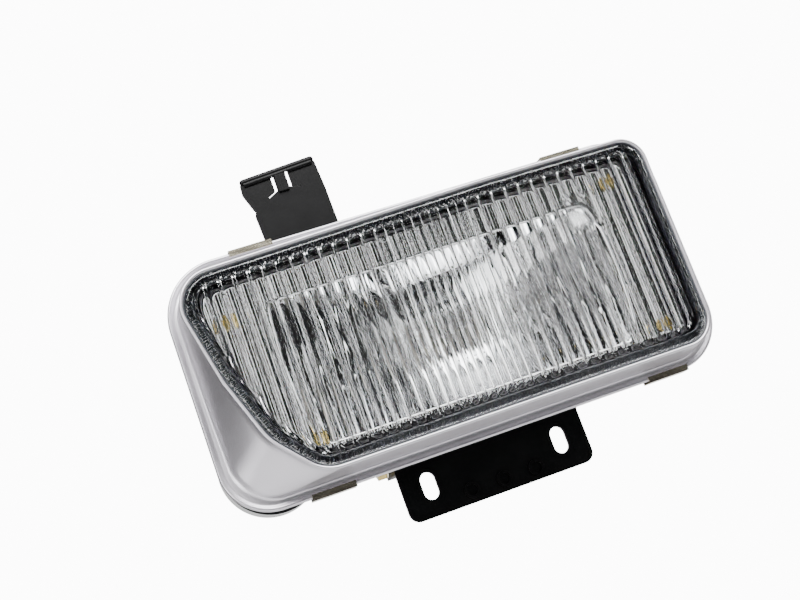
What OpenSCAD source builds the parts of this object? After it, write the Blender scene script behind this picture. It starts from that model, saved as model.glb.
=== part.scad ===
// Rectangular clip-on fog lamp with a fluted glass lens and two steel brackets.
// Millimetres, +Z up, front towards -Y. Origin: between the two slots of the
// lower bracket, on its rear face. The lamp itself tilts on two pivot screws.

/* [Lamp front] */
// Length of the front flange
flange_w = 225.4; // [200:0.2:250]
// Height of the front flange
flange_h = 108; // [96:1:122]
// Corner radius of the front flange
flange_r = 24; // [14:0.5:28]
// How far the lens stands in front of the flange
face_rise = 18.5; // [14:0.5:24]
// Thickness of the bezel's flange
bezel_t = 2; // [1.5:0.1:3]
// Thickness of the gasket between bezel and housing
gasket_t = 1; // [0.6:0.1:2]
// Thickness of the housing's flange
shell_flange_t = 2.5; // [2:0.1:4]
// Thickness of the lens glass
glass_t = 4.5; // [3:0.1:6]
// Width of the rubber seal around the lens
seal_w = 1; // [0.8:0.1:2]

/* [Housing] */
// Depth of the housing behind its flange
shell_depth = 68; // [60:1:90]
// Wall thickness of the housing
shell_wall = 2.5; // [2:0.1:4]
// Length of the housing's flat back
back_w = 124; // [100:1:150]
// Height of the housing's flat back
back_h = 68; // [60:1:80]

/* [Reflector and bulb] */
// Focal length of the reflector
focal = 22; // [18:0.5:26]
// Radius of the reflector's bowl at its rim
bowl_r = 64; // [50:1:70]
// Height of the reflector's bowl
bowl_h = 66; // [50:1:80]
// Radius of the bulb's glass
bulb_r = 5.75; // [5:0.05:6.5]
// Distance from the bulb's seat to its filament
bulb_reach = 25; // [18:0.5:30]

/* [Clips] */
// Length of a clip along the flange
clip_l = 19; // [12:0.5:26]
// Sheet thickness of a clip
clip_t = 0.6; // [0.4:0.1:1.2]
// How far a clip's legs reach over the flange
clip_leg = 1.7; // [1:0.1:4.5]

/* [Wiring chamber] */
// Radius of the chamber's neck
neck_r = 18.5; // [15:0.5:20]
// Running gap between neck and cap
cap_gap = 0.5; // [0.3:0.1:1]
// Wall of the cap's skirt
cap_wall = 3.5; // [1.5:0.1:4.5]
// Height of the cap
cap_h = 15; // [10:1:20]
// Turn that frees the cap, in degrees
cap_turn = 45; // [30:5:60]

/* [Brackets] */
// Sheet thickness of both brackets
sheet = 2; // [1.5:0.1:3]
// Width of the lower bracket
low_w = 90; // [76:1:120]
// Distance between the lower bracket's slots
slot_pitch = 64; // [50:1:80]
// Width of a slot
slot_w = 7; // [5:0.1:9]
// Length of a slot
slot_l = 12.5; // [10:0.5:16]
// Radius of the pivot screw's shoulder
pivot_r = 4; // [3:0.1:5]
// Running clearance of the shoulder in the bracket's ear
pivot_play = 0.06; // [0.02:0.01:0.1]
// Width of the upper bracket
up_w = 35; // [28:1:42]
// Height of the upper bracket above its foot
up_h = 48; // [36:1:60]

/* [Hidden] */
$fn = 64;
sliver = 0.01;
gap = 0.35;

// Lamp centre relative to the lower bracket.
lamp_x = -8.5;
lamp_y = -65;

// Depths in the lamp's own frame: 0 is the front rim of the lens.
bezel_back = face_rise + bezel_t;
shell_front = bezel_back + gasket_t;
shell_flange_back = shell_front + shell_flange_t;
shell_back = shell_flange_back + shell_depth;
rim_y = 12;
rim_t = 1.5;
vertex_y = rim_y + bowl_r * bowl_r / (4 * focal);
seat_y = vertex_y - focal + bulb_reach;

// Pivot axis, in the bracket's frame. The lamp hangs so that the underside of
// its housing clears the pivot screws.
pivot_y = 15;
pivot_z = 18;
taper = 6.5;
drop = flange_h / 2 - taper - back_h / 2;
belly = flange_h / 2 - taper - drop * (pivot_y - lamp_y - shell_flange_back) / shell_depth;
lamp_z = pivot_z + belly + 8.118;

// Lens outline: centre x, centre z and radius of each rounded corner,
// counter-clockwise from the lower left. Left end is cut back at the bottom.
half_w = flange_w / 2;
half_h = flange_h / 2;
corners = [
    [-half_w + 46.7, -half_h + 24, 16],
    [half_w - 23.2, -half_h + 19.8, 12],
    [half_w - 20.5, half_h - 17.3, 10],
    [28, half_h - 21.9, 15],
    [-half_w + 20.7, half_h - 23.4, 14],
    [-half_w + 42.1, 8, 30],
    [-half_w + 44.8, -14.4, 25]
];

// Wiring chamber behind the cut-back corner.
cham_x = -half_w + 24.7;
cham_z = -half_h + 23.3;
neck_end = 62;
cap_front = 51;
cap_back = cap_front + cap_h;
cap_in = neck_r + cap_gap;
cap_out = cap_in + cap_wall;
peg_r = 1.5;
peg_reach = 1.1;
peg_y = 56;

// Ears, lugs and shelf of the pivots.
ear_r = 6;
lug_r = 5.5;
lug_w = 6;
lug_mid = low_w / 2 - sheet - gap - lug_w / 2;
shelf_z = 11.5;
thread_r = 3;

// Upper bracket, in the lamp's frame.
up_x = -42.5;
up_y = 45;
up_foot_z = half_h - 8;
up_top = up_foot_z + up_h;
foot_l = 24;
pad_screw_r = 2.5;
pad_screws = [[up_x - 9, up_y + 15], [up_x + 9, up_y + 15]];

// Middle of each clip along X: left and right.
clip_top = [-half_w + 42.5, half_w - 38.7];
clip_low = [-half_w + 42.5, half_w - 30.1];

// ---------------------------------------------------------------- helpers

// Carries the lamp's own frame to the bracket's frame.
module at_lamp() translate([lamp_x, lamp_y, lamp_z]) children();

// Drawing in X and Z, extruded from depth y0 to depth y1.
module slab(y0, y1) translate([0, y1, 0]) rotate([90, 0, 0]) linear_extrude(y1 - y0) children();

// Drawing in Y and Z, extruded from x0 to x1.
module bar_x(x0, x1) translate([x0, 0, 0]) rotate([90, 0, 90]) linear_extrude(x1 - x0) children();

// Disc with its axis along Y.
module disc_y(x, z, r, y0, y1) translate([x, y1, z]) rotate([90, 0, 0]) cylinder(r = r, h = y1 - y0);

// Disc with its axis along X.
module disc_x(y, z, r, x0, x1) translate([x0, y, z]) rotate([0, 90, 0]) cylinder(r = r, h = x1 - x0);

// Box from corner a to corner b.
module block(a, b) translate(a) cube(b - a);

// Straight round rod from p to q.
module rod(p, q, r) {
    d = q - p;
    len = norm(d);
    translate(p)
        rotate([0, acos(d[2] / len), atan2(d[1], d[0])])
            cylinder(r = r, h = len);
}

// Rounded rectangle centred on the drawing's origin.
module rounded(w, h, r) {
    square([w - 2 * r, h], center = true);
    square([w, h - 2 * r], center = true);
    for (sx = [-1, 1])
        for (sy = [-1, 1])
            translate([sx * (w / 2 - r), sy * (h / 2 - r)]) circle(r = r);
}

// Outward normal of the tangent from corner i to the next corner.
function next_of(i) = (i + 1) % len(corners);
function before(i) = (i + len(corners) - 1) % len(corners);
function reach(i) = [corners[next_of(i)][0] - corners[i][0], corners[next_of(i)][1] - corners[i][1]];
function turned(i) = atan2(reach(i)[1], reach(i)[0])
    - acos((corners[i][2] - corners[next_of(i)][2]) / norm(reach(i)));
function tangent_at(c, a, grow) = [c[0] + (c[2] + grow) * cos(a), c[1] + (c[2] + grow) * sin(a)];

function swept(i) = (turned(i) - turned(before(i)) + 720) % 360;
arc_step = 6;

// Lens outline, grown outwards by the given amount: an arc at each corner.
module lens_outline(grow)
    polygon([
        for (i = [0 : len(corners) - 1])
            let (n = ceil(swept(i) / arc_step))
                for (k = [0 : n])
                    tangent_at(corners[i], turned(before(i)) + swept(i) * k / n, grow)
    ]);

module flange_outline(grow) rounded(flange_w + 2 * grow, flange_h + 2 * grow, flange_r + grow);

// ---------------------------------------------------------------- front

// Flutes: centre x and half width of each vertical rib on the inner face.
side_pitch = 6.2;
mid_pitch = 4.1;
mid_count = 10;
side_count = 12;
side_deep = 1.8;
mid_deep = 1.2;
function arc_r(half, deep) = (half * half + deep * deep) / (2 * deep);

module flute(x, pitch, deep) {
    r = arc_r(pitch * 0.47, deep);
    translate([x, glass_t - deep + r, 0]) cylinder(r = r, h = flange_h, center = true);
}

module flutes() {
    mid_half = mid_count * mid_pitch / 2;
    for (i = [0 : mid_count - 1])
        flute(-mid_half + (i + 0.5) * mid_pitch, mid_pitch, mid_deep);
    for (i = [0 : side_count - 1]) {
        flute(mid_half + (i + 0.5) * side_pitch, side_pitch, side_deep);
        flute(-mid_half - (i + 0.5) * side_pitch, side_pitch, side_deep);
    }
}

// Pressed glass lens: smooth outside, flutes inside, a plain square pad and a
// rim that runs back into the bezel.
module lens() color([0.88, 0.92, 0.94, 0.4]) at_lamp() {
    pad = 14;
    difference() {
        slab(0, glass_t) lens_outline(-seal_w);
        difference() {
            intersection() {
                flutes();
                slab(glass_t - side_deep - 0.2, glass_t + 1) lens_outline(-seal_w - 3.7);
            }
            translate([half_w - 44.9, glass_t, half_h - 31]) cube([pad, 4, pad], center = true);
        }
    }
    slab(glass_t - sliver, glass_t + 4) difference() {
        lens_outline(-seal_w);
        lens_outline(-seal_w - 3);
    }
}

// Rubber bead that closes the gap between lens and bezel.
module lens_seal() color([0.06, 0.07, 0.09]) at_lamp()
    slab(0.3, glass_t + 4) difference() {
        lens_outline(0);
        lens_outline(-seal_w);
    }

// Painted frame: a raised wall carries the lens and runs down to a flat flange.
module wall_cone(front, back, y0, y1) hull() {
    slab(y0, y0 + 0.1) lens_outline(front);
    slab(y1 - 0.1, y1) flange_outline(back, $fn = 32);
}

module bezel() color([0.72, 0.71, 0.73]) at_lamp() {
    lip = 1.4;
    foot = -4.4;
    skin = 1.8;
    difference() {
        union() {
            wall_cone(lip, foot, -0.4, face_rise + 0.2);
            slab(face_rise, bezel_back) flange_outline(0);
        }
        slab(-1, glass_t + 5) lens_outline(0);
        wall_cone(lip - skin - 0.2, foot - skin, glass_t + 4, bezel_back + 0.1);
    }
}

// Flat rubber gasket between the two flanges.
module gasket() color([0.05, 0.05, 0.05]) at_lamp()
    slab(bezel_back, shell_front) difference() {
        flange_outline(-0.8);
        flange_outline(-6);
    }

// ---------------------------------------------------------------- reflector and bulb

// Screw posts of the reflector: x and z.
posts = [[-half_w + 22.7, half_h - 30], [-half_w + 42.7, -half_h + 21],
    [half_w - 26.7, half_h - 21], [half_w - 26.7, -half_h + 20]];
post_r = 4;

// Wire spring that presses the bulb's base on its seat and swings on two ears.
wire_r = 0.6;
spring_z = 16;
spring_y = seat_y + 1.5 + gap + wire_r;
spring_x = 7;
spring_low = -14;

// Parabolic profile as radius and depth, moved outwards by t.
steps = 18;
function bowl_point(i, t) = let (r = bowl_r * i / steps) [r + (i == 0 ? 0 : t), r * r / (4 * focal)];

module bowl(t) {
    translate([0, vertex_y + t, 0]) rotate([90, 0, 0]) rotate_extrude()
        polygon(concat([for (i = [0 : steps]) bowl_point(i, t)], [[0, bowl_point(steps, t)[1]]]));
}

module reflector() color([0.86, 0.87, 0.89]) at_lamp() {
    seat_r = 17;
    hole_r = bulb_r + 1.2;
    skin = 1.5;
    ear_x = 9.6;
    difference() {
        union() {
            slab(rim_y, rim_y + rim_t) lens_outline(-seal_w - 5);
            intersection() {
                bowl(skin);
                slab(rim_y, vertex_y + 5) square([2 * bowl_r + 8, bowl_h + 2 * skin], center = true);
            }
            disc_y(0, 0, seat_r, vertex_y - 5, seat_y);
            for (sx = [-1, 1])
                block([sx * ear_x - 1.5, seat_y - 3, spring_z - 3],
                      [sx * ear_x + 1.5, spring_y + 2.5, spring_z + 3]);
            block([-3, seat_y - 3, -19], [3, seat_y + 3, -15.6]);
        }
        intersection() {
            bowl(0);
            slab(rim_y - 1, vertex_y) square([2 * bowl_r, bowl_h], center = true);
        }
        slab(rim_y - 1, rim_y + rim_t + sliver) intersection() {
            circle(r = bowl_r);
            square([2 * bowl_r, bowl_h], center = true);
        }
        disc_y(0, 0, hole_r, vertex_y - 8, seat_y + 1);
        disc_x(spring_y, spring_z, wire_r + 0.08, -12, 12);
        for (p = posts)
            disc_y(p[0], p[1], 2.2, rim_y - 1, rim_y + rim_t + 1);
    }
}

module reflector_screws() color([0.7, 0.68, 0.6]) at_lamp()
    for (p = posts) {
        disc_y(p[0], p[1], 3.2, rim_y - 2, rim_y);
        disc_y(p[0], p[1], 2, rim_y - sliver, rim_y + 12);
    }

module bulb_glass() color([0.9, 0.93, 0.95, 0.4]) at_lamp() {
    tip_y = seat_y - bulb_reach - 8;
    skin = 0.9;
    difference() {
        union() {
            disc_y(0, 0, bulb_r, tip_y, seat_y - 2);
            translate([0, tip_y, 0]) sphere(r = bulb_r);
        }
        disc_y(0, 0, bulb_r - skin, tip_y, seat_y - 8);
        translate([0, tip_y, 0]) sphere(r = bulb_r - skin);
    }
}

// Coil and its two supports, standing in the glass.
module bulb_filament() color([0.35, 0.33, 0.3]) at_lamp() {
    coil_y = seat_y - bulb_reach;
    disc_x(coil_y, 0, 0.8, -2.6, 2.6);
    for (sx = [-1, 1])
        disc_y(sx * 1.9, 0, 0.4, coil_y, seat_y - 8);
}

// Metal base: seating disc with a locating flat, barrel and blade terminal.
module bulb_base() color([0.62, 0.6, 0.55]) at_lamp() {
    difference() {
        disc_y(0, 0, 11, seat_y, seat_y + 1.5);
        block([-12, seat_y - 1, 9.5], [12, seat_y + 3, 12]);
    }
    disc_y(0, 0, 6, seat_y + 1.5 - sliver, seat_y + 6);
    difference() {
        disc_y(0, 0, bulb_r + 0.6, seat_y - 6, seat_y + sliver);
        disc_y(0, 0, bulb_r, seat_y - 7, seat_y - 2);
    }
    block([-3.15, seat_y + 6 - sliver, -0.4], [3.15, seat_y + 14, 0.4]);
}

// Pivot wire in the reflector's ears, two legs and a cross bar.
module bulb_spring() color([0.6, 0.6, 0.58]) at_lamp() {
    disc_x(spring_y, spring_z, wire_r, -11.5, 11.5);
    for (sx = [-1, 1]) {
        rod([sx * spring_x, spring_y, spring_z], [sx * spring_x, spring_y, spring_low], wire_r);
        translate([sx * spring_x, spring_y, spring_low]) sphere(r = wire_r + 0.05);
    }
    disc_x(spring_y, spring_low, wire_r, -spring_x, spring_x);
}

// Push-on socket on the bulb's blade.
socket_front = seat_y + 8;
socket_back = seat_y + 17;
module lead_socket() color([0.75, 0.73, 0.66]) at_lamp()
    difference() {
        block([-4.2, socket_front, -2.2], [4.2, socket_back, 2.2]);
        block([-3.2, socket_front - 1, -0.45], [3.2, seat_y + 14.2, 0.45]);
    }

// Insulated lead from the socket round the bowl to the top of the terminal block.
lead_y = 39;
lead_z = cham_z + 12;
module bulb_lead() color([0.1, 0.1, 0.11]) at_lamp() {
    lead_r = 1.4;
    turn = socket_back + 5;
    down = -back_w / 2 + 5;
    path = [[0, socket_back, 0], [0, turn, 0], [down, turn, 0], [down, lead_y, 0],
        [down, lead_y, lead_z], [cham_x + 4, lead_y, lead_z], [cham_x + 4, lead_y, cham_z + 5]];
    for (i = [0 : len(path) - 2])
        rod(path[i], path[i + 1], lead_r);
    for (i = [1 : len(path) - 2])
        translate(path[i]) sphere(r = lead_r + 0.15);
}

// ---------------------------------------------------------------- housing

module terminal_block() color([0.16, 0.16, 0.17]) at_lamp()
    difference() {
        block([cham_x - 8, 34, cham_z - 6], [cham_x + 8, 46, cham_z + 5]);
        for (sx = [-1, 1])
            disc_y(cham_x + sx * 4, cham_z, 1.6, 38, 47);
    }

module terminal_screws() color([0.75, 0.73, 0.66]) at_lamp()
    for (sx = [-1, 1]) {
        disc_y(cham_x + sx * 4, cham_z, 1.6, 38, 46);
        disc_y(cham_x + sx * 4, cham_z, 2.8, 46, 47.6);
    }

// Tapered shell with a round recess for the chamber's cap; the inset draws it
// smaller for its inside.
module shell(inset, y0, y1) difference() {
    hull() {
        slab(y0, y0 + 0.1)
            rounded(flange_w - 2 * (taper + inset), flange_h - 2 * (taper + inset), 16, $fn = 32);
        slab(y1 - 0.1, y1) rounded(back_w - 2 * inset, back_h - 2 * inset, 14, $fn = 32);
    }
    disc_y(cham_x, cham_z, cap_out + 3 + inset, cap_front - 3 - inset, shell_back + 1);
}

// Cable inlet and vent in the back: x and z.
inlet = [-back_w / 2 + 28, -back_h / 2 + 18];
vent = [back_w / 2 - 26, back_h / 2 - 18];

module housing() color([0.07, 0.07, 0.075]) at_lamp() {
    pad_x = up_x - up_w / 2 + 1;
    difference() {
        union() {
            difference() {
                union() {
                    slab(shell_front, shell_flange_back) flange_outline(-0.2);
                    shell(0, shell_flange_back - 0.2, shell_back);
                    disc_y(cham_x, cham_z, neck_r, shell_flange_back - 1, neck_end);
                    block([pad_x, up_y + 3, back_h / 2 - 2],
                        [pad_x + up_w - 2, up_y + sheet + foot_l, up_foot_z - sheet]);
                }
                shell(shell_wall, shell_front - 0.2, shell_back - shell_wall);
                disc_y(cham_x, cham_z, neck_r - shell_wall, 33, neck_end + 1);
                slab(shell_front - 1, shell_flange_back + 0.4)
                    rounded(flange_w - 2 * (taper + shell_wall), flange_h - 2 * (taper + shell_wall), 13.5);
            }
            for (p = posts)
                disc_y(p[0], p[1], post_r, rim_y + rim_t, shell_flange_back);
            intersection() {
                for (p = posts)
                    disc_y(p[0], p[1], post_r, shell_flange_back - sliver, shell_back - 20);
                shell(0.5, shell_flange_back - 0.2, shell_back);
            }
            block([cham_x - 7, 34, cham_z - neck_r + 2], [cham_x + 7, 46, cham_z - 6]);
            for (s = [-1, 1])
                lug(s);
        }
        for (p = posts)
            disc_y(p[0], p[1], 2.05, rim_y, rim_y + 13);
        for (s = [-1, 1])
            disc_x(pivot_y - lamp_y, pivot_z - lamp_z, thread_r + 0.05,
                   s * lug_mid - lamp_x - lug_w, s * lug_mid - lamp_x + lug_w);
        for (p = pad_screws)
            translate([p[0], p[1], up_foot_z - sheet - 11]) cylinder(r = pad_screw_r, h = 12);
        disc_y(inlet[0], inlet[1], 6, shell_back - 5, shell_back + 1);
        disc_y(vent[0], vent[1], 2.65, shell_back - 5, shell_back + 1);
    }
    for (a = [90, 270])
        rotate_peg(a);
}

// Lugs under the housing for the pivot screws.
module lug(s) {
    x = s * lug_mid - lamp_x;
    y = pivot_y - lamp_y;
    z = pivot_z - lamp_z;
    disc_x(y, z, lug_r, x - lug_w / 2, x + lug_w / 2);
    block([x - lug_w / 2, y - lug_r, z], [x + lug_w / 2, y + lug_r, -back_h / 2 - 1]);
}

// Bayonet peg on the neck.
module rotate_peg(a)
    translate([cham_x, peg_y, cham_z]) rotate([0, a, 0])
        translate([neck_r - 1, 0, 0]) rotate([0, 90, 0]) cylinder(r = peg_r, h = 1 + peg_reach);

module cable_grommet() color([0.05, 0.05, 0.055]) at_lamp()
    difference() {
        union() {
            disc_y(inlet[0], inlet[1], 6, shell_back - shell_wall - 1.5, shell_back);
            disc_y(inlet[0], inlet[1], 8.5, shell_back, shell_back + 4);
            disc_y(inlet[0], inlet[1], 7, shell_back - shell_wall - 1.5, shell_back - shell_wall);
        }
        disc_y(inlet[0], inlet[1], 3.5, shell_back - shell_wall - 3, shell_back + 5);
    }

module vent_cap() color([0.09, 0.09, 0.1]) at_lamp()
    difference() {
        union() {
            disc_y(vent[0], vent[1], 2.6, shell_back - shell_wall - 1, shell_back);
            disc_y(vent[0], vent[1], 5.5, shell_back, shell_back + 3.5);
        }
        disc_y(vent[0], vent[1], 1.2, shell_back - shell_wall - 2, shell_back + 2);
        disc_x(shell_back + 1.6, vent[1], 0.8, vent[0] - 7, vent[0]);
    }

// Twist-off cap of the wiring chamber, with a bayonet track inside its skirt.
module chamber_cap() color([0.04, 0.04, 0.045]) at_lamp() {
    track_r = neck_r + peg_reach + 0.5;
    margin = 8;
    difference() {
        union() {
            disc_y(cham_x, cham_z, cap_out, cap_front, cap_back);
            block([cham_x - 13, cap_back - sliver, cham_z - 2], [cham_x + 13, cap_back + 4, cham_z + 2]);
        }
        disc_y(cham_x, cham_z, cap_in, cap_front - 1, cap_back - 3);
        for (a = [90, 270]) {
            track(a, track_r, margin);
            entry(a, track_r);
        }
    }
}

// Track: ring segment about the chamber's axis that lets the peg pass.
module track(a, r, margin)
    translate([cham_x, peg_y + peg_r + 0.4, cham_z]) rotate([90, 0, 0])
        rotate([0, 0, -a - margin]) rotate_extrude(angle = cap_turn + 2 * margin)
            translate([cap_in - 0.5, 0]) square([r - cap_in + 0.5, 2 * peg_r + 0.8]);

// Mouth of the track, reached after the full turn.
module entry(a, r)
    translate([cham_x, peg_y, cham_z]) rotate([90, 0, 0])
        rotate([0, 0, -a + cap_turn])
            translate([cap_in - 1, -peg_r - 0.5, 0]) cube([r - cap_in + 1, 2 * peg_r + 1, 8]);

// O-ring on the end of the neck.
module cap_seal() color([0.03, 0.03, 0.03]) at_lamp()
    translate([cham_x, neck_end, cham_z]) rotate([90, 0, 0])
        rotate_extrude() translate([neck_r - shell_wall / 2, -0.3]) square([1.6, 0.6], center = true);

// ---------------------------------------------------------------- clips

// Spring steel clip: two legs grip the flanges, a lead-in lip turns out at the back.
module clip(mid, side) at_lamp()
    bar_x(mid - clip_l / 2, mid + clip_l / 2) scale_side(side) {
        front = face_rise - gap;
        back = shell_flange_back + gap;
        edge = half_h + gap;
        translate([front - clip_t, edge - clip_leg - gap]) square([clip_t, clip_leg + gap + clip_t]);
        translate([back, edge - clip_leg]) square([clip_t, clip_leg + clip_t]);
        translate([front - clip_t, edge]) square([back - front + 2 * clip_t, clip_t]);
        polygon([[back, edge - clip_leg + clip_t], [back, edge - clip_leg],
            [back + 1.6, edge - clip_leg - 1.8], [back + clip_t + 1.6, edge - clip_leg - 1.8],
            [back + clip_t, edge - clip_leg], [back + clip_t, edge - clip_leg + clip_t]]);
    }
module scale_side(side) mirror([0, side < 0 ? 1 : 0]) children();

module clip_top_left() color([0.62, 0.58, 0.46]) clip(clip_top[0], 1);
module clip_top_right() color([0.62, 0.58, 0.46]) clip(clip_top[1], 1);
module clip_low_left() color([0.62, 0.58, 0.46]) clip(clip_low[0], -1);
module clip_low_right() color([0.62, 0.58, 0.46]) clip(clip_low[1], -1);

// ---------------------------------------------------------------- upper bracket

// Upright plate with a turned-over head, a pressed tongue between two slits and
// a foot screwed to the housing.
module upper_bracket() color([0.05, 0.05, 0.055]) at_lamp() {
    left = up_x - up_w / 2 + 1.5;
    right = up_x + up_w / 2;
    head = up_top - 15.5;
    hem_r = 1.5;
    difference() {
        union() {
            slab(up_y, up_y + sheet) polygon([
                [left, up_foot_z - sheet], [right, up_foot_z - sheet], [right - 0.4, head],
                [right - 1.2, up_top - 2.5], [right - 2.6, up_top - 0.4], [left - 2.2, up_top - 2.4],
                [left - 3.4, up_top - 4], [left - 3.7, up_top - 8.5], [left - 1.2, head - 0.6],
                [left - 0.5, head - 2], [left - 1.2, head - 4.2]
            ]);
            for (z = [0, hem_r])
                rod([left - 1.8, up_y + sheet - hem_r, up_top - 3 - z],
                    [right - 2.8, up_y + sheet - hem_r, up_top - 1 - z], hem_r);
            for (e = [[left - 1.8, up_top - 3], [right - 2.8, up_top - 1]])
                translate([e[0], up_y + sheet - hem_r, e[1]]) sphere(r = hem_r);
            block([left, up_y + sheet - sliver, up_foot_z - sheet],
                  [right, up_y + sheet + foot_l, up_foot_z]);
        }
        for (p = pad_screws)
            translate([p[0], p[1], up_foot_z - 10]) cylinder(r = pad_screw_r + 0.3, h = 20);
        slab(up_y - 1, up_y + sheet + 1) {
            translate([up_x - 5.2, up_top - 11]) square([1.4, 7]);
            translate([up_x + 1.7, up_top - 10.6]) square([1.4, 7.6]);
            polygon([[up_x - 5.2, up_top - 11], [up_x - 3.8, up_top - 11],
                [up_x - 8.6, up_top - 13.4], [up_x - 9, up_top - 12.9]]);
            polygon([[up_x + 1.7, up_top - 10.6], [up_x + 3.1, up_top - 10.6],
                [up_x + 6.6, up_top - 11.6], [up_x + 6.4, up_top - 12.2]]);
        }
    }
    translate([up_x - 3.5, up_y - 1.2, up_top - 12]) cube([4.8, 1.2 + sliver, 8]);
}

module upper_screws() color([0.5, 0.5, 0.48]) at_lamp()
    for (p = pad_screws) {
        translate([p[0], p[1], up_foot_z]) cylinder(r = 4.6, h = 3.5, $fn = 6);
        translate([p[0], p[1], up_foot_z - sheet - 10])
            cylinder(r = pad_screw_r - 0.05, h = sheet + 10 + sliver);
    }

// ---------------------------------------------------------------- lower bracket and pivots

ear_out = low_w / 2;
ear_in = low_w / 2 - sheet;

// Shoulder screw: side is -1 on the left and +1 on the right.
module pivot_screw(side) color([0.55, 0.54, 0.5]) mirror([side < 0 ? 1 : 0, 0, 0]) {
    washer_out = ear_out + gap + 0.8;
    disc_x(pivot_y, pivot_z, pivot_r, ear_in - gap, washer_out + sliver);
    disc_x(pivot_y, pivot_z, thread_r, ear_in - gap - lug_w + 0.5, ear_in - gap + sliver);
    translate([washer_out, pivot_y, pivot_z]) rotate([0, 90, 0]) cylinder(r = 7.5, h = 4, $fn = 6);
}

module pivot_washer(side) color([0.65, 0.63, 0.56]) mirror([side < 0 ? 1 : 0, 0, 0])
    difference() {
        disc_x(pivot_y, pivot_z, 7.6, ear_out + gap, ear_out + gap + 0.8);
        disc_x(pivot_y, pivot_z, pivot_r + 0.05, ear_out, ear_out + gap + 2);
    }

module pivot_screw_left() pivot_screw(-1);
module pivot_screw_right() pivot_screw(1);
module pivot_washer_left() pivot_washer(-1);
module pivot_washer_right() pivot_washer(1);

// Ear with the pivot hole, standing on the end of the shelf.
module ear(side) mirror([side < 0 ? 1 : 0, 0, 0])
    difference() {
        bar_x(ear_in, ear_out) {
            translate([pivot_y, pivot_z]) circle(r = ear_r);
            translate([pivot_y - ear_r, shelf_z - sheet]) square([2 * ear_r, pivot_z - shelf_z + sheet]);
        }
        disc_x(pivot_y, pivot_z, pivot_r + pivot_play, ear_in - 1, ear_out + 1);
    }

module slot_cut(x) slab(-sheet - 1, 1) {
    translate([x - slot_w / 2, -(slot_l - slot_w) / 2]) square([slot_w, slot_l - slot_w]);
    for (s = [-1, 1])
        translate([x, s * (slot_l - slot_w) / 2]) circle(r = slot_w / 2);
}

// Folded sheet bracket: slotted plate, shelf and two ears; three pressed dimples.
module lower_bracket() color([0.05, 0.05, 0.055]) {
    low_z = -13.8;
    corner = 5;
    dimple_r = 3.7;
    dimple_pitch = 15.8;
    difference() {
        union() {
            slab(-sheet, 0) {
                translate([-low_w / 2, low_z + corner]) square([low_w, shelf_z - low_z - corner]);
                translate([-low_w / 2 + corner, low_z]) square([low_w - 2 * corner, corner + 1]);
                for (s = [-1, 1])
                    translate([s * (low_w / 2 - corner), low_z + corner]) circle(r = corner);
            }
            block([-low_w / 2, -sliver, shelf_z - sheet], [low_w / 2, pivot_y + ear_r, shelf_z]);
            for (s = [-1, 1])
                ear(s);
            for (i = [-1, 0, 1])
                disc_y(i * dimple_pitch + 1.5, low_z + 5.7, dimple_r, -sheet - 0.8, -sheet + sliver);
        }
        for (s = [-1, 1])
            slot_cut(s * slot_pitch / 2);
        for (i = [-1, 0, 1])
            disc_y(i * dimple_pitch + 1.5, low_z + 5.7, dimple_r - 1.2, -sheet - 2, -sheet + 0.4);
    }
}

lens();
lens_seal();
bezel();
gasket();
reflector();
reflector_screws();
bulb_glass();
bulb_filament();
bulb_base();
bulb_spring();
lead_socket();
bulb_lead();
terminal_block();
terminal_screws();
housing();
cable_grommet();
vent_cap();
chamber_cap();
cap_seal();
clip_top_left();
clip_top_right();
clip_low_left();
clip_low_right();
upper_bracket();
upper_screws();
pivot_screw_left();
pivot_screw_right();
pivot_washer_left();
pivot_washer_right();
lower_bracket();
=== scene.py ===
import bpy
import numpy as np
from mathutils import Matrix, Vector


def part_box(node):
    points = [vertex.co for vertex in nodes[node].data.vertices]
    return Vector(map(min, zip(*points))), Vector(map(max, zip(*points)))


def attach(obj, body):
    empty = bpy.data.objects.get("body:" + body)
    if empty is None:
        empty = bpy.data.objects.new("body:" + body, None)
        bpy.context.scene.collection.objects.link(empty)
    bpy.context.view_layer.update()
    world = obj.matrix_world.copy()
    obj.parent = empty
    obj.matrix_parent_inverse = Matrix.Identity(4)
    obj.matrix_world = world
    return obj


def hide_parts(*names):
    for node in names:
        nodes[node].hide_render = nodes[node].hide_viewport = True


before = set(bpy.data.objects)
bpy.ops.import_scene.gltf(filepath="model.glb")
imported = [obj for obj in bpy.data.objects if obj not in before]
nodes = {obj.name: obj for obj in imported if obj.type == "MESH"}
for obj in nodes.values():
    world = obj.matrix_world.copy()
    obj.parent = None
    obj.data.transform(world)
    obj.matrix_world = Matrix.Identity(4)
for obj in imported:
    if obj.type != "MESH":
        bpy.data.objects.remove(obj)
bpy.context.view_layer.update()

# ---------------------------------------------------------------- housing
# Rear shell that everything else is fixed to. One moulding in black filled
# plastic, so its edges are soft and its skin has fine pores.

MM = 0.001


def join(tree, value, slot):
    """Links a term or a socket to the slot, or sets the slot to a plain value."""
    if isinstance(value, Term):
        value = value.socket
    if isinstance(value, bpy.types.NodeSocket):
        tree.links.new(value, slot)
    else:
        slot.default_value = value


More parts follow.
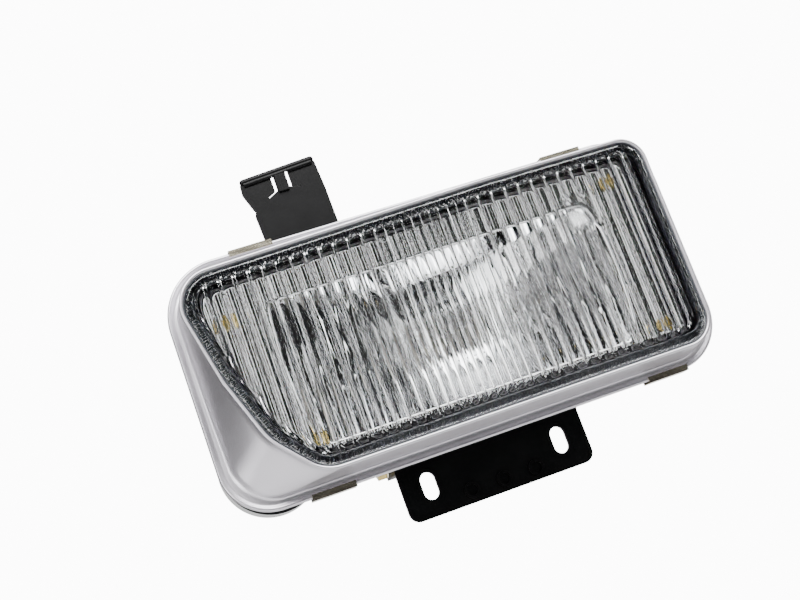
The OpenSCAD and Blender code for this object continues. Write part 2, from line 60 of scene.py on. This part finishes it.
class Term:
    """One shader value. Arithmetic on it adds a maths node that does the same."""

    def __init__(self, tree, socket):
        self.tree = tree
        self.socket = socket

    def made(self, operation, *terms):
        node = self.tree.nodes.new("ShaderNodeMath")
        node.operation = operation
        for slot, term in zip(node.inputs, terms):
            join(self.tree, term, slot)
        return Term(self.tree, node.outputs[0])

    def __add__(self, other):
        return self.made("ADD", self, other)

    def __mul__(self, other):
        return self.made("MULTIPLY", self, other)

    def __rsub__(self, other):
        return self.made("SUBTRACT", other, self)

    __radd__ = __add__
    __rmul__ = __mul__

    def sine(self):
        return self.made("SINE", self)

    def step(self, low, high):
        """Smooth rise from 0 at low to 1 at high: t t (3 - 2 t), t clamped."""
        t = self.made("MULTIPLY_ADD", self, 1.0 / (high - low), -low / (high - low))
        t = t.made("MINIMUM", t.made("MAXIMUM", t, 0.0), 1.0)
        return t * t * (3.0 - 2.0 * t)


class Finish:
    """A material being built. Constants go straight on the shader's own sockets."""

    def __init__(self, name, **constants):
        self.material = bpy.data.materials.new(name)
        self.material.use_nodes = True
        self.tree = self.material.node_tree
        self.shader = self.tree.nodes["Principled BSDF"]
        for socket, value in constants.items():
            self.shader.inputs[socket.replace("_", " ")].default_value = value
        self.place = self.node("ShaderNodeTexCoord").outputs["Object"]

    def node(self, kind, settings=None, **sockets):
        """Adds any node, with its settings and its sockets' values or links."""
        node = self.tree.nodes.new(kind)
        for name, value in (settings or {}).items():
            setattr(node, name, value)
        for name, value in sockets.items():
            join(self.tree, value, node.inputs[name.replace("_", " ")])
        return node

    def noise(self, size, detail=3.0, stretch=(1.0, 1.0, 1.0)):
        """Grain of about this size in metres, longer where stretch is above 1."""
        scaled = self.node("ShaderNodeMapping", Vector=self.place,
                           Scale=[1.0 / (size * s) for s in stretch])
        grain = self.node("ShaderNodeTexNoise", Vector=scaled.outputs[0], Scale=1.0,
                          Detail=detail, Roughness=0.5)
        return Term(self.tree, grain.outputs["Fac"])

    def attribute(self, name):
        """The number that each vertex holds under this name."""
        return Term(self.tree, self.node("ShaderNodeAttribute", {"attribute_name": name}).outputs["Fac"])

    def axis(self, which):
        """One object coordinate, in metres."""
        split = self.node("ShaderNodeSeparateXYZ", Vector=self.place)
        return Term(self.tree, split.outputs[which])

    def blend(self, share, low, high):
        """Colour low where share is 0, high where it is 1."""
        mix = self.node("ShaderNodeMix", {"data_type": "RGBA"})
        for slot, value in (("Factor_Float", share), ("A_Color", (*low, 1.0)), ("B_Color", (*high, 1.0))):
            join(self.tree, value, next(s for s in mix.inputs if s.identifier == slot))
        return next(s for s in mix.outputs if s.identifier == "Result_Color")

    def feed(self, socket, value):
        """Links a varying value to one of the shader's sockets."""
        join(self.tree, value, self.shader.inputs[socket])

    def bump(self, height, depth, strength):
        """Bumps of this depth in metres."""
        node = self.node("ShaderNodeBump", Height=height, Distance=depth, Strength=strength)
        self.tree.links.new(node.outputs[0], self.shader.inputs["Normal"])


def dress(names, finish):
    """Gives CAD nodes or built pieces one material."""
    for name in names:
        mesh = (nodes.get(name) or bpy.data.objects[name]).data
        mesh.materials.clear()
        mesh.materials.append(finish.material)


def soften(names, width):
    """Rounds the sheared or moulded edges of CAD nodes by this width."""
    for name in names:
        edge = nodes[name].modifiers.new("edge", "BEVEL")
        edge.width = width
        edge.segments = 3
        edge.limit_method = "ANGLE"
        edge.angle_limit = np.radians(40)
        edge.harden_normals = False


moulded = Finish("housing_plastic", Specular_IOR_Level=0.2)
pores = moulded.noise(0.7 * MM)
bloom = moulded.noise(20 * MM)
moulded.feed("Base Color", moulded.blend(bloom, (0.006, 0.006, 0.0065), (0.014, 0.014, 0.015)))
moulded.feed("Roughness", 0.45 + 0.2 * pores)
moulded.bump(pores, 0.08 * MM, 0.4)
dress(["housing"], moulded)
soften(["housing"], 0.8 * MM)

# ---------------------------------------------------------------- rubber parts
# Gasket behind the flange, cable grommet and the O-ring of the chamber's cap:
# black moulded rubber with a dry, slightly dusty skin.

matt = Finish("gasket_rubber")
crumb = matt.noise(0.8 * MM)
matt.feed("Base Color", matt.blend(crumb, (0.008, 0.008, 0.008), (0.026, 0.026, 0.027)))
matt.feed("Roughness", 0.55 + 0.25 * crumb)
matt.bump(crumb, 0.06 * MM, 0.4)
dress(["gasket", "cable_grommet", "cap_seal"], matt)

# ---------------------------------------------------------------- chamber cap, vent
# Twist-off cap of the wiring chamber and the small vent cap: gloss black
# plastic, moulded in a polished tool.

shiny = Finish("cap_plastic", Coat_Weight=0.3, Coat_Roughness=0.08)
swirl = shiny.noise(10 * MM)
shiny.feed("Base Color", shiny.blend(swirl, (0.004, 0.004, 0.005), (0.012, 0.012, 0.013)))
shiny.feed("Roughness", 0.18 + 0.14 * swirl)
dress(["chamber_cap", "vent_cap"], shiny)
soften(["chamber_cap", "vent_cap"], 0.6 * MM)

# ---------------------------------------------------------------- wiring
# Terminal block of dark grey moulded plastic with tinned brass screws, and a
# black sleeved lead that ends in a tinned brass push-on socket.

block = Finish("terminal_plastic")
fill = block.noise(1 * MM, 2.0)
block.feed("Base Color", block.blend(fill, (0.07, 0.07, 0.075), (0.13, 0.13, 0.135)))
block.feed("Roughness", 0.45 + 0.15 * fill)
dress(["terminal_block"], block)

brass = Finish("tinned_brass", Metallic=1.0)
tin = brass.noise(1.5 * MM)
brass.feed("Base Color", brass.blend(tin, (0.62, 0.52, 0.30), (0.78, 0.74, 0.62)))
brass.feed("Roughness", 0.28 + 0.2 * tin)
dress(["lead_socket", "terminal_screws"], brass)

sleeve = Finish("lead_sleeve")
weave = sleeve.noise(1.2 * MM, 2.0)
sleeve.feed("Base Color", sleeve.blend(weave, (0.01, 0.01, 0.012), (0.03, 0.03, 0.033)))
sleeve.feed("Roughness", 0.4 + 0.2 * weave)
dress(["bulb_lead"], sleeve)

# ---------------------------------------------------------------- reflector
# Plastic dish plated bright by vacuum: a paraboloid cut by flat shelves above
# and below, in a plated plate that follows the lens and takes four screws.

lens_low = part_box("lens")[0]
bezel_low, bezel_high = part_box("bezel")
half_w = (bezel_high.x - bezel_low.x) / 2 / MM
half_h = (bezel_high.z - bezel_low.z) / 2 / MM
lamp = Vector(((bezel_low.x + bezel_high.x) / 2, lens_low.y, (bezel_low.z + bezel_high.z) / 2))
lens_corners = [
    (-half_w + 46.7, -half_h + 24, 16),
    (half_w - 23.2, -half_h + 19.8, 12),
    (half_w - 20.5, half_h - 17.3, 10),
    (28, half_h - 21.9, 15),
    (-half_w + 20.7, half_h - 23.4, 14),
    (-half_w + 42.1, 8, 30),
    (-half_w + 44.8, -14.4, 25),
]


class Outline:
    """Convex loop of circular corners joined by their outer tangents.

    Corners are centre x, centre z and radius in mm. Two of them, i and j, share
    the tangent whose outward normal n has n . (cj - ci) = ri - rj. marks are
    (corner, "start" or "end") pairs that matched() spaces its steps between.
    """

    def __init__(self, corners, marks):
        count = len(corners)
        turn = []
        for i in range(count):
            here, there = np.array(corners[i]), np.array(corners[(i + 1) % count])
            across = there[:2] - here[:2]
            span = np.hypot(*across)
            turn.append(np.arctan2(across[1], across[0]) - np.arccos((here[2] - there[2]) / span))
        points, angles, starts, ends = [], [], [], []
        for i, (x, z, r) in enumerate(corners):
            sweep = (turn[i] - turn[i - 1]) % (2 * np.pi)
            a = turn[i - 1] + sweep * np.linspace(0, 1, 33)
            starts.append(len(points))
            points.extend(zip(x + r * np.cos(a), z + r * np.sin(a)))
            angles.extend(a)
            ends.append(len(points) - 1)
        points.append(points[0])
        angles.append(angles[0] + 2 * np.pi)
        self.points = np.array(points)
        self.angles = np.unwrap(np.array(angles))
        steps = np.hypot(*np.diff(self.points, axis=0).T)
        self.length = np.concatenate([[0], np.cumsum(steps)])
        self.total = self.length[-1]
        self.marks = [self.length[(starts if side == "start" else ends)[i]] for i, side in marks]

    def at(self, along, grow=0.0):
        """Points at these lengths round the loop, moved outwards by grow: p + grow n."""
        s = np.mod(along, self.total)
        x, z = (np.interp(s, self.length, self.points[:, k]) for k in (0, 1))
        a = np.interp(s, self.length, self.angles)
        return np.stack([x + grow * np.cos(a), z + grow * np.sin(a)], -1)

    def even(self, count):
        """Lengths of count even steps round the loop."""
        return np.linspace(0, self.total, count, endpoint=False)

    def matched(self, counts):
        """Lengths that put counts[k] even steps between mark k and the next one."""
        spans = []
        for k, n in enumerate(counts):
            a = self.marks[k]
            b = self.marks[(k + 1) % len(self.marks)]
            if b <= a:
                b += self.total
            spans.append(a + (b - a) * np.arange(n) / n)
        return np.concatenate(spans)


def placed(plan, depth):
    """Plan points (x, z) and a depth, all in mm from the lamp's centre, as frame metres."""
    plan = np.asarray(plan, float)
    y = np.broadcast_to(np.asarray(depth, float), plan.shape[:-1])
    return np.stack([plan[..., 0], y, plan[..., 1]], -1) * MM + np.array(lamp)


def built(name, points, quads):
    """Smooth piece from points and quads."""
    mesh = bpy.data.meshes.new(name)
    mesh.from_pydata(points.tolist(), [], quads.tolist())
    mesh.update()
    mesh.polygons.foreach_set("use_smooth", np.full(len(mesh.polygons), True))
    piece = bpy.data.objects.new(name, mesh)
    bpy.context.scene.collection.objects.link(piece)
    return piece


def ring(name, rows, flip=False):
    """Closed ring from rows of points, each a loop round the lamp's axis.

    Quads join each loop to the next, the last loop to the first, and the last
    point of a loop to its first. flip turns the faces over.
    """
    points = np.array(rows)
    index = np.arange(points.shape[0] * points.shape[1]).reshape(points.shape[:2])
    index = np.concatenate([index, index[:, :1]], 1)
    index = np.concatenate([index, index[:1]], 0)
    quads = np.stack([index[:-1, :-1], index[:-1, 1:], index[1:, 1:], index[1:, :-1]], -1)
    quads = quads.reshape(-1, 4)
    if flip:
        quads = quads[:, ::-1]
    return built(name, points.reshape(-1, 3), quads)


lens_line = Outline(lens_corners, [(0, "end"), (1, "start"), (1, "end"), (2, "start"),
                                   (2, "end"), (4, "start"), (4, "end"), (6, "start")])
focal = 27.0
bowl_r, bowl_top, bowl_low = 76.0, 27.0, 35.5
plate_y, plate_inset, plate_t = 12.0, 5.2, 1.2
vertex_y = plate_y + bowl_r ** 2 / (4 * focal)
hole_r, hole_deep = 6.95, 2.5
collar_r, collar_foot_r, collar_foot = 16.0, 18.0, 1.0
shell_r, shell_out, shell_t, shell_ease = 20.0, 1.5, 1.6, 0.97
skirt_scale, skirt_deep = 1.025, 1.4
bowl_steps = 256

spin = np.arange(bowl_steps) / bowl_steps * 2 * np.pi
spoke = np.stack([np.cos(spin), np.sin(spin)], -1)
shelf = np.where(np.sin(spin) > 0, bowl_top, bowl_low)
reach = np.minimum(bowl_r, shelf / np.maximum(np.abs(np.sin(spin)), 1e-6))
mouth = spoke * reach[:, None]


def dish(radius, back=0.0, ease=1.0):
    """Loop of the paraboloid at this radius: depth = vertex + back - ease r r / (4 focal)."""
    return placed(spoke * radius[:, None], vertex_y + back - radius ** 2 / (4 * focal) * ease)


def collar(radius, depth):
    """Round loop of this radius, at a depth behind the bowl's vertex."""
    return placed(spoke * radius, vertex_y + depth)


plate_loop = lens_line.at(lens_line.even(4000), -plate_inset)
loop_angle = np.arctan2(plate_loop[:, 1], plate_loop[:, 0]) % (2 * np.pi)
order = np.argsort(loop_angle)
plate_reach = np.interp(spin, loop_angle[order], np.hypot(*plate_loop.T)[order], period=2 * np.pi)
plate_edge = spoke * plate_reach[:, None]
shelf_deep = vertex_y - reach ** 2 / (4 * focal) - plate_y
mirror_rows = [placed(plate_edge, plate_y + plate_t)]
mirror_rows += [placed(plate_edge * (1 - t) + mouth * t, plate_y) for t in np.linspace(0, 1, 8)]
mirror_rows += [placed(mouth, plate_y + shelf_deep * t) for t in np.linspace(0.03, 1, 8)]
mirror_rows += [dish(reach * (1 - t) + hole_r * t) for t in np.linspace(0, 1, 48)[1:]]
mirror_rows += [collar(hole_r, hole_deep), collar(collar_r, hole_deep)]
mirror_rows.append(collar(collar_foot_r, -collar_foot))
mirror_rows += [dish(shell_r * (1 - t) + (reach + shell_out) * t, shell_t, shell_ease)
                for t in (0.0, 0.3, 0.6, 1.0)]
mirror_rows.append(placed(mouth * skirt_scale, plate_y + skirt_deep))
mirror = ring("reflector_bowl", mirror_rows, flip=True)
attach(mirror, "lamp")
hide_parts("reflector")

chrome = Finish("reflector_chrome", Metallic=1.0)
haze = chrome.noise(15 * MM, 4.0)
ripple = chrome.noise(6 * MM, 2.0)
chrome.feed("Base Color", chrome.blend(haze, (0.93, 0.935, 0.94), (0.985, 0.985, 0.99)))
chrome.feed("Roughness", 0.01 + 0.03 * haze)
chrome.bump(ripple, 0.02 * MM, 0.1)
dress(["reflector_bowl"], chrome)

# ---------------------------------------------------------------- reflector screws
# Screws through the reflector's plate: turned steel, zinc plated and passivated
# yellow.

zinc = Finish("zinc_screw", Metallic=1.0)
spangle = zinc.noise(3 * MM, 2.0)
zinc.feed("Base Color", zinc.blend(spangle, (0.34, 0.25, 0.08), (0.58, 0.47, 0.20)))
zinc.feed("Roughness", 0.12 + 0.15 * spangle)
dress(["reflector_screws"], zinc)

# ---------------------------------------------------------------- bulb
# Halogen bulb with one filament: a clear quartz tube in a pressed, nickel-plated
# base, with a coiled tungsten wire in it. A bent wire spring holds it in place.

nickel = Finish("bulb_metal", Metallic=1.0)
drawn = nickel.noise(2 * MM)
nickel.feed("Base Color", nickel.blend(drawn, (0.55, 0.53, 0.49), (0.75, 0.73, 0.69)))
nickel.feed("Roughness", 0.25 + 0.2 * drawn)
dress(["bulb_base"], nickel)

quartz = Finish("bulb_quartz", Transmission_Weight=1.0, IOR=1.45, Base_Color=(0.97, 0.98, 0.99, 1.0))
veil = quartz.noise(4 * MM)
quartz.feed("Roughness", 0.01 + 0.03 * veil)
dress(["bulb_glass"], quartz)

coil_pitch = 0.45 * MM
tungsten = Finish("tungsten", Metallic=1.0)
coil_turns_and_shade = (tungsten.axis("X") * (2 * np.pi / coil_pitch)).sine()
# The colour is painted shade: darker in the grooves between the coil's turns, lighter on their crests.
tungsten.feed("Base Color", tungsten.blend(coil_turns_and_shade * 0.5 + 0.5, (0.16, 0.15, 0.15), (0.36, 0.35, 0.34)))
tungsten.feed("Roughness", 0.35 + 0.1 * coil_turns_and_shade)
tungsten.bump(coil_turns_and_shade, 0.1 * MM, 0.8)
dress(["bulb_filament"], tungsten)

wire = Finish("spring_wire", Metallic=1.0)
pull = wire.noise(1 * MM, 2.0)
wire.feed("Base Color", wire.blend(pull, (0.45, 0.45, 0.44), (0.66, 0.66, 0.64)))
wire.feed("Roughness", 0.22 + 0.15 * pull)
dress(["bulb_spring"], wire)

# ---------------------------------------------------------------- bezel
# Pressed and sprayed frame: a rolled lip round the lens, a wall that runs out
# to the flange, a flat flange with a soft bead at its edge. Satin silver paint.

flange_corners = [
    (sx * (half_w - r), sz * (half_h - r), r)
    for sx, sz, r in ((-1, -1, 21.5), (1, -1, 23.0), (1, 1, 24.0), (-1, 1, 25.0))
]
flange_line = Outline(flange_corners, [(0, "end"), (1, "start"), (1, "end"), (2, "start"),
                                       (2, "end"), (3, "start"), (3, "end"), (0, "start")])
side_steps = [96, 20, 56, 20, 96, 24, 56, 48]
lens_stations = lens_line.matched(side_steps)
flange_stations = flange_line.matched(side_steps)
lip, lip_y, lip_back, lip_crown = 1.5, 0.6, 6.0, 0.95
foot, foot_slope, foot_rise, wall_y = -4.6, 9.0, 55.0, 1.0
flange_y = 18.5
flange_back = (bezel_high.y - lamp.y) / MM
flange_bead = [(-3.2, 18.55), (-2.6, 18.55), (-2.0, 18.4), (-1.5, 18.05), (-0.95, 17.9),
               (-0.45, 18.05), (-0.12, 18.45), (0.0, 18.9)]


def bezel_section():
    """Rows of the section: growth of the lens loop, growth of the flange loop,
    share of the flange loop, depth. The lip is a half sine to the power 0.8,
    the wall is straight, and its foot eases into the flange by a power of 1.6.
    The last three rows close the back."""
    rows = [(0.0, foot, 0.0, lip_back), (0.0, foot, 0.0, lip_y)]
    for a in np.pi * np.linspace(0, 1, 7):
        rows.append((lip / 2 - lip / 2 * np.cos(a), foot, 0.0, lip_y - lip_crown * np.sin(a) ** 0.8))
    base = flange_y - 0.2
    rows += [(lip, foot, t, wall_y + (base - wall_y) * t) for t in np.linspace(0.04, 0.88, 14)]
    rows += [(lip, foot + (t - 0.92) * foot_slope, t, base - (1.0 - t) ** 1.6 * foot_rise)
             for t in np.linspace(0.92, 1.0, 5)]
    rows += [(lip, grow, 1.0, depth) for grow, depth in flange_bead]
    return rows + [(lip, 0.0, 1.0, flange_back), (lip, -6.0, 1.0, flange_back), (-0.2, -6.0, 0.0, 8.5)]


bezel_rows = []
for lens_grow, flange_grow, share, depth in bezel_section():
    inner = lens_line.at(lens_stations, lens_grow)
    outer = flange_line.at(flange_stations, flange_grow)
    bezel_rows.append(placed(inner * (1 - share) + outer * share, depth))
bezel_skin = ring("bezel_skin", bezel_rows, flip=True)
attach(bezel_skin, "lamp")
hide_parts("bezel")

silver = Finish("silver_paint", Metallic=0.85, Coat_Weight=0.2, Coat_Roughness=0.15)
cloud = silver.noise(30 * MM, 2.0)
flake = silver.noise(0.35 * MM, 2.0)
speckle = cloud * 0.5 + flake * 0.5
silver.feed("Base Color", silver.blend(speckle, (0.39, 0.375, 0.405), (0.50, 0.485, 0.515)))
silver.feed("Roughness", 0.26 + 0.10 * cloud + 0.08 * flake)
silver.bump(flake + cloud * 0.4, 0.04 * MM, 0.35)
dress(["bezel_skin"], silver)

# ---------------------------------------------------------------- lens
# Pressed glass: smooth outside with a rounded edge; inside, vertical flutes,
# wide at both sides and narrow in the middle, end in round scallops short of
# a flat border. A plain square pad interrupts them near the upper right.

glass_t, round_r = 4.5, 1.1
seal_w, border, flute_lift = 1.0, 3.7, 1.6
side_pitch, mid_pitch = 6.2, 4.1
side_deep, mid_deep = 1.8, 1.2
side_arch, mid_arch = 1.9, 1.3
run_out_length, run_out_end, pad_fade = 1.1, 0.4, 0.5
mid_half = 10 * mid_pitch / 2
flute_last = mid_half + 12 * side_pitch + 1.6
pad_x, pad_z, pad_half, pad_sink = half_w - 44.9, half_h - 31.0, 7.0, 0.25
pane_line = lens_line.at(lens_line.even(1200), -seal_w)


def spans_at(x, loop):
    """Lowest and highest z of a convex loop at each x, by cutting its segments."""
    a, b = loop, np.roll(loop, -1, 0)
    width = np.where(a[:, 0] == b[:, 0], 1.0, b[:, 0] - a[:, 0])
    share = (x[:, None] - a[:, 0]) / width
    z = a[:, 1] + share * (b[:, 1] - a[:, 1])
    hit = (share >= 0) & (share <= 1) & (a[:, 0] != b[:, 0])
    return np.where(hit, z, np.inf).min(1), np.where(hit, z, -np.inf).max(1)


def gap_to(loop, x, z):
    """Distance of each point from the nearest of the loop's points."""
    gap = np.full(x.shape, np.inf)
    for part in np.array_split(loop, 12):
        gap = np.minimum(gap, np.hypot(x[..., None] - part[:, 0], z[..., None] - part[:, 1]).min(-1))
    return gap


def flute_phase(x):
    """Place across its flute, from -1 to 1, and whether the flute is a wide one."""
    out = np.abs(x) - mid_half
    wide = np.mod(out, side_pitch) / side_pitch * 2 - 1
    narrow = np.mod(x + mid_half, mid_pitch) / mid_pitch * 2 - 1
    return np.where(out > 0, wide, narrow), out > 0


edge_steps = np.array([0.0, 0.04, 0.12, 0.25, 0.45, 0.7, 1.0, 1.4])
x_low, x_high = pane_line[:, 0].min() + 0.01, pane_line[:, 0].max() - 0.01
even_steps = np.linspace(x_low, x_high, 540)
columns = np.unique(np.concatenate([even_steps, x_low + edge_steps, x_high - edge_steps]))
z_low, z_high = spans_at(columns, pane_line)
rise = (1 - np.cos(np.linspace(0, np.pi, 68))) / 2
col_x = np.repeat(columns[None, :], len(rise), 0)
col_z = z_low + (z_high - z_low) * rise[:, None]
edge_gap = gap_to(pane_line, col_x, col_z)
flute_gap = gap_to(pane_line + [0, flute_lift], col_x, col_z)
phase, is_wide = flute_phase(col_x)
arch = np.where(is_wide, side_arch, mid_arch) * (1 - np.sqrt(np.clip(1 - phase ** 2, 0, 1)))
run_out = np.clip((flute_gap - border - arch) / run_out_length, 0, 1)
scallop = np.sqrt(1 - (1 - run_out) ** 2) * np.clip((flute_last - col_x) / run_out_end, 0, 1)
pad_off = np.maximum(np.abs(col_x - pad_x), np.abs(col_z - pad_z)) - pad_half
scallop *= np.clip(pad_off / pad_fade, 0, 1)
half_pitch = np.where(is_wide, side_pitch, mid_pitch) / 2
deepest = np.where(is_wide, side_deep, mid_deep)
arc_r = (half_pitch ** 2 + deepest ** 2) / (2 * deepest)
flute_deep = np.sqrt(arc_r ** 2 - (phase * half_pitch) ** 2) - (arc_r - deepest)
back_depth = glass_t - flute_deep * scallop - pad_sink * (pad_off < 0)
front_depth = round_r * (1 - np.sqrt(1 - (1 - np.clip(edge_gap / round_r, 0, 1)) ** 2))
pane_front = placed(np.stack([col_x, col_z], -1), front_depth)
pane_back = placed(np.stack([col_x, col_z], -1), back_depth)
index = np.arange(col_x.size).reshape(col_x.shape)
face = np.stack([index[:-1, :-1], index[:-1, 1:], index[1:, 1:], index[1:, :-1]], -1)
face = face.reshape(-1, 4)
rim = np.concatenate([index[0, :-1], index[:-1, -1], index[-1, :0:-1], index[:0:-1, 0]])
after = np.roll(rim, -1)
wall = np.stack([rim, rim + col_x.size, after + col_x.size, after], -1)
pane = built("lens_pane", np.concatenate([pane_front.reshape(-1, 3), pane_back.reshape(-1, 3)]),
             np.concatenate([face, face[:, ::-1] + col_x.size, wall]))
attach(pane, "lamp")
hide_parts("lens")
frosted = pane.data.attributes.new("pad", "FLOAT", "POINT")
frosted.data.foreach_set("value", np.tile(np.clip(0.5 - pad_off, 0, 1).ravel(), 2).astype(np.float32))

glass = Finish("lens_glass", Transmission_Weight=1.0, IOR=1.5, Base_Color=(0.985, 0.992, 0.995, 1.0))
smear = glass.noise(30 * MM)
glass.feed("Roughness", 0.004 + 0.02 * smear + 0.16 * glass.attribute("pad"))
dress(["lens_pane"], glass)

# ---------------------------------------------------------------- seal
# Blue-black sealant that beds the lens in the bezel: a ridged band behind the
# glass border, drawn narrow on the right, and a thin edge round the glass.

ridge, ridge_h = 1.05, 0.55
band_wide, band_narrowing, band_outer = 4.6, 2.4, 1.3
ridges = int(round(lens_line.total / ridge))
seal_stations = lens_line.even(ridges * 6)
ridge_wave = np.abs(np.cos(np.pi * seal_stations / lens_line.total * ridges)) ** 0.8
facing = np.cos(np.interp(seal_stations, lens_line.length, lens_line.angles))
band = band_wide - band_narrowing * np.clip(facing * 1.6 - 0.6, 0, 1)
# Share of the way across the band, growth of the lens loop, depth, share of the ridges.
seal_section = [
    (0.0, -0.02, 8.4, 0.0), (0.0, -0.02, 0.9, 0.0), (0.0, -0.12, 0.5, 0.0), (0.0, -0.4, 0.35, 0.0),
    (0.0, -0.75, 0.6, 0.0), (0.0, -0.9, 1.2, 0.0), (0.0, -0.95, 4.75, 0.0), (0.0, -1.25, 4.62, 0.3),
    (0.1, -1.3, 4.58, 1.0), (0.35, -1.3, 4.58, 1.0), (0.62, -1.3, 4.62, 1.0), (0.72, -1.3, 4.7, 0.2),
    (0.86, -1.3, 4.66, 0.0), (1.0, -1.3, 4.85, 0.0), (1.0, -1.4, 6.6, 0.0), (0.8, -1.0, 8.4, 0.0),
]
seal_rows = []
for share, lead, depth, cut in seal_section:
    grow = lead - share * (band - band_outer)
    seal_rows.append(placed(lens_line.at(seal_stations, grow), depth + ridge_h * cut * ridge_wave))
seal = ring("seal_bed", seal_rows)
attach(seal, "lamp")
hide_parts("lens_seal")

sealant = Finish("seal_rubber", Coat_Weight=0.15, Coat_Roughness=0.12)
grit = sealant.noise(1.2 * MM)
sealant.feed("Base Color", sealant.blend(grit, (0.003, 0.004, 0.006), (0.010, 0.013, 0.019)))
sealant.feed("Roughness", 0.30 + 0.2 * grit)
sealant.bump(grit, 0.03 * MM, 0.3)
dress(["seal_bed"], sealant)

# ---------------------------------------------------------------- clips
# Four folded strips of yellow-passivated spring steel that grip bezel and
# housing together, with the streaks of the rolled strip along them.

clips = ["clip_top_left", "clip_top_right", "clip_low_left", "clip_low_right"]
steel = Finish("clip_steel", Metallic=1.0)
streak = steel.noise(0.8 * MM, 3.0, (14.0, 1.0, 1.0))
tarnish = steel.noise(6 * MM)
steel.feed("Base Color", steel.blend(tarnish, (0.36, 0.32, 0.21), (0.78, 0.73, 0.60)))
steel.feed("Roughness", 0.14 + 0.16 * streak)
steel.bump(streak, 0.03 * MM, 0.3)
dress(clips, steel)
soften(clips, 0.35 * MM)

# ---------------------------------------------------------------- brackets
# Folded sheet steel in satin black paint, its sheared edges just broken. The
# lamp tilts on the lower one's two pivot screws, which have spring washers.

paint = Finish("bracket_paint", Coat_Weight=0.02, Coat_Roughness=0.15, Specular_IOR_Level=0.1)
peel = paint.noise(1.6 * MM)
dust = paint.noise(9 * MM, 4.0)
paint.feed("Base Color", paint.blend(dust, (0.0004, 0.0004, 0.0005), (0.002, 0.002, 0.0022)))
paint.feed("Roughness", 0.34 + 0.18 * dust)
paint.bump(peel, 0.08 * MM, 0.35)
dress(["upper_bracket", "lower_bracket"], paint)
soften(["upper_bracket", "lower_bracket"], 0.4 * MM)

bracket_screws = ["upper_screws", "pivot_screw_left", "pivot_screw_right"]
dress(bracket_screws, zinc)
soften(bracket_screws, 0.4 * MM)
dress(["pivot_washer_left", "pivot_washer_right"], steel)

# ---------------------------------------------------------------- studio
# Pale floor well below the lamp, a plain white background all round, and a dim
# room that the lamp reflects: soft lights above, beside and in front of it.

bpy.ops.mesh.primitive_plane_add(size=1.7, location=(0, 0.25, -0.55))
floor = bpy.context.object
floor.name = "floor"
pale = Finish("floor_pale")
mottle = pale.noise(0.4, 2.0)
pale.feed("Base Color", pale.blend(mottle, (0.80, 0.80, 0.80), (0.86, 0.86, 0.86)))
pale.feed("Roughness", 0.7 + 0.1 * mottle)
floor.data.materials.append(pale.material)

world = bpy.data.worlds.new("room")
bpy.context.scene.world = world
world.use_nodes = True
tree = world.node_tree
sky = tree.nodes["Background"]
where = tree.nodes.new("ShaderNodeTexCoord")
split = tree.nodes.new("ShaderNodeSeparateXYZ")
tree.links.new(where.outputs["Generated"], split.inputs[0])
across, depth, height = (Term(tree, split.outputs[k]) for k in "XYZ")
# ahead is 1 in the camera's direction of view: the wall behind the lamp is lit,
# and so is the ceiling, but only the camera sees the white background.
ahead = 0.225 * across + 0.956 * depth + 0.19 * height
back_wall = ahead.step(0.70, 0.90) * 1.6
ceiling = height.step(0.3, 0.9) * 0.5
seen = Term(tree, tree.nodes.new("ShaderNodeLightPath").outputs["Is Camera Ray"])
white, gloom = 12.0, 0.02
strength = seen * white + (1.0 - seen) * (back_wall + ceiling + gloom)
tree.links.new(strength.socket, sky.inputs["Strength"])
sky.inputs["Color"].default_value = (1.0, 1.0, 1.0, 1.0)


def softbox(name, place, width, height, power):
    """Rectangular light at place, facing the lamp."""
    light = bpy.data.lights.new(name, "AREA")
    light.shape = "RECTANGLE"
    light.size, light.size_y = width, height
    light.energy = power
    box = bpy.data.objects.new(name, light)
    box.location = place
    box.rotation_mode = "QUATERNION"
    box.rotation_quaternion = (lamp - Vector(place)).to_track_quat("-Z", "Y")
    bpy.context.scene.collection.objects.link(box)


softbox("key", (-0.05, -0.8, 0.95), 1.5, 0.8, 78)
softbox("fill", (-0.95, -0.6, -0.3), 0.6, 0.4, 6)
softbox("left", (-0.42, -1.45, 0.2), 0.07, 1.1, 3.6)
softbox("far_left", (-1.1, -0.9, 0.2), 0.12, 1.1, 9)
softbox("right", (1.2, -1.3, 0.2), 0.07, 1.1, 3.6)
softbox("far_right", (1.5, -0.6, 0.2), 0.15, 1.1, 9)

# ---------------------------------------------------------------- camera
# Below the lamp and to its left, tipped so the lamp leans to the left.

view_from = lamp + Vector((-138.2, -495.0, -89.0)) * MM
view_along = Vector((0.22493, 0.95571, 0.18980))
view_up = Vector((0.29622, -0.25265, 0.92110))
camera = bpy.data.objects.new("camera", bpy.data.cameras.new("camera"))
camera.data.lens = 57.13
camera.data.sensor_width = 36.0
side = view_along.cross(view_up).normalized()
up = side.cross(view_along).normalized()
turned = Matrix((side, up, -view_along.normalized())).transposed().to_4x4()
camera.matrix_world = Matrix.Translation(view_from) @ turned
bpy.context.scene.collection.objects.link(camera)
bpy.context.scene.camera = camera
